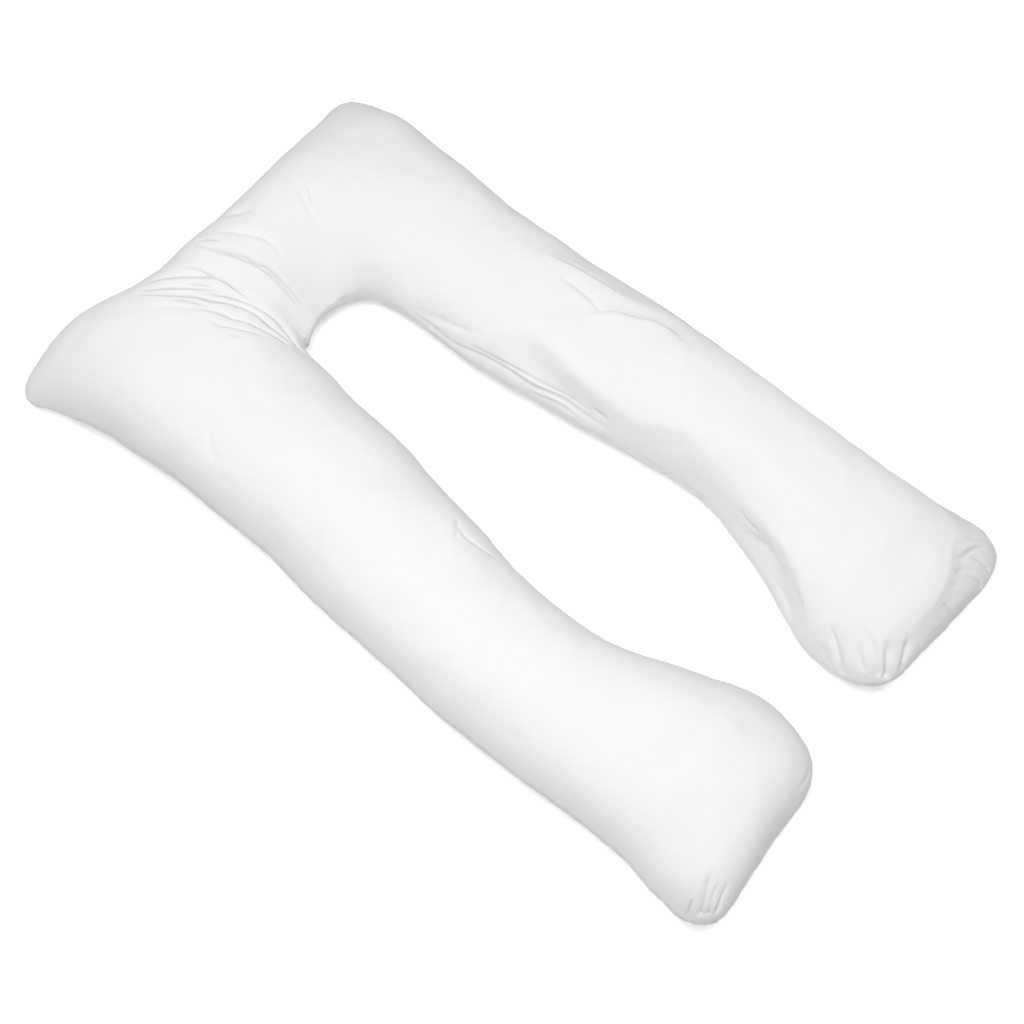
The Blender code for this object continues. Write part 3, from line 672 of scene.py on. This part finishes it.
def cotton_cover():
    cotton = bpy.data.materials.new("cotton_cover")
    cotton.use_nodes = True
    tree = cotton.node_tree
    surface = tree.nodes["Principled BSDF"]
    surface.inputs["Roughness"].default_value = 0.9
    surface.inputs["Specular IOR Level"].default_value = 0.3
    surface.inputs["Sheen Weight"].default_value = 0.06
    surface.inputs["Sheen Roughness"].default_value = 0.5
    places = node(tree, "ShaderNodeTexCoord").outputs["Object"]
    normal = None
    for width, height in CRUMPLES:
        lumps = node(tree, "ShaderNodeTexNoise")
        lumps.inputs["Scale"].default_value = 1 / width
        lumps.inputs["Detail"].default_value = 1.0
        tree.links.new(places, lumps.inputs["Vector"])
        bump = node(tree, "ShaderNodeBump")
        bump.inputs["Distance"].default_value = height
        tree.links.new(lumps.outputs[0], bump.inputs["Height"])
        if normal is not None:
            tree.links.new(normal, bump.inputs["Normal"])
        normal = bump.outputs["Normal"]
    cut = node(tree, "ShaderNodeUVMap", uv_map="cut")
    weave = node(tree, "ShaderNodeGroup", node_tree=plain_weave())
    weave.inputs["Threads"].default_value = THREADS
    tree.links.new(cut.outputs["UV"], weave.inputs["Place"])
    bump = node(tree, "ShaderNodeBump")
    bump.inputs["Distance"].default_value = THREAD_RELIEF
    tree.links.new(weave.outputs["Height"], bump.inputs["Height"])
    tree.links.new(normal, bump.inputs["Normal"])
    tree.links.new(bump.outputs["Normal"], surface.inputs["Normal"])
    # Painted shade: the gaps between the threads are a touch darker than the threads.
    shade = node(tree, "ShaderNodeMix", data_type="RGBA")
    shade.inputs[6].default_value = GAP_SHADE_COLOUR
    shade.inputs[7].default_value = THREAD_COLOUR
    tree.links.new(weave.outputs["Height"], shade.inputs[0])
    # Painted shade: the base colour turns greyer along the narrow creases, standing in for the
    # shade that falls in them.
    shade_attribute = node(tree, "ShaderNodeAttribute", attribute_name="crease_shade")
    painted_shade = node(tree, "ShaderNodeMix", data_type="RGBA")
    painted_shade.inputs[7].default_value = CREASE_SHADE_COLOUR
    tree.links.new(shade_attribute.outputs["Fac"], painted_shade.inputs[0])
    tree.links.new(shade.outputs[2], painted_shade.inputs[6])
    tree.links.new(painted_shade.outputs[2], surface.inputs["Base Color"])
    return cotton


pillow.data.materials.clear()
pillow.data.materials.append(cotton_cover())

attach(pillow, "root")
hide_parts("pillow")


# The floor: a plain pale sheet that the pillow lies on. It glows a little for the camera
# alone, so that it stays white far out and the shadows on it stay faint.
FLOOR_SIZE = 12.0
FLOOR_COLOUR = (0.95, 0.95, 0.95, 1.0)
FLOOR_GLOW = (0.25, 0.25, 0.25, 1.0)

floor_shape = bmesh.new()
bmesh.ops.create_grid(floor_shape, x_segments=1, y_segments=1, size=FLOOR_SIZE / 2)
floor_mesh = bpy.data.meshes.new("floor")
floor_shape.to_mesh(floor_mesh)
floor_shape.free()
floor = bpy.data.objects.new("floor", floor_mesh)
bpy.context.collection.objects.link(floor)
floor_paint = bpy.data.materials.new("floor_paint")
floor_paint.use_nodes = True
floor_surface = floor_paint.node_tree.nodes["Principled BSDF"]
floor_surface.inputs["Base Color"].default_value = FLOOR_COLOUR
floor_surface.inputs["Roughness"].default_value = 0.9
floor_surface.inputs["Emission Color"].default_value = FLOOR_GLOW
floor_rays = node(floor_paint.node_tree, "ShaderNodeLightPath")
floor_paint.node_tree.links.new(
    floor_rays.outputs["Is Camera Ray"], floor_surface.inputs["Emission Strength"])
floor_mesh.materials.append(floor_paint)


# Light. Wide soft lights, as in a studio: one high over the near side, one over each side of
# the feet, one behind the head, and a smaller lamp close over the middle of the pillow. The
# backdrop behind the floor is pale, but it sends no light.
LIGHTS = [
    # name, azimuth and elevation in degrees, distance, width, power in watts
    ("over_near_side", 270.0, 76.0, 8.0, 2.4, 176.0),
    ("far_feet", 60.0, 57.0, 8.0, 3.2, 208.0),
    ("near_feet", 300.0, 61.0, 8.0, 3.2, 206.0),
    ("head", 180.0, 28.0, 8.0, 3.2, 130.0),
    ("over_middle", 270.0, 76.0, 2.4, 0.8, 16.0),
]
LIGHT_TARGET = Vector((0.0, -0.10, 0.05))
BACKDROP_COLOUR = (0.9, 0.9, 0.9, 1.0)

for light_name, azimuth, elevation, distance, width, power in LIGHTS:
    light_data = bpy.data.lights.new(light_name, "AREA")
    light_data.shape = "DISK"
    light_data.size = width
    light_data.energy = power
    light = bpy.data.objects.new(light_name, light_data)
    bpy.context.collection.objects.link(light)
    away = Vector((
        sin(radians(azimuth)) * cos(radians(elevation)),
        -cos(radians(azimuth)) * cos(radians(elevation)),
        sin(radians(elevation)),
    ))
    light.location = LIGHT_TARGET + away * distance
    light.rotation_mode = "QUATERNION"
    light.rotation_quaternion = (-away).to_track_quat("-Z", "Y")

room = bpy.data.worlds.new("room")
room.use_nodes = True
backdrop = room.node_tree.nodes["Background"]
backdrop.inputs["Color"].default_value = BACKDROP_COLOUR
rays = node(room.node_tree, "ShaderNodeLightPath")
room.node_tree.links.new(rays.outputs["Is Camera Ray"], backdrop.inputs["Strength"])
bpy.context.scene.world = room
bpy.context.scene.view_settings.view_transform = "Standard"
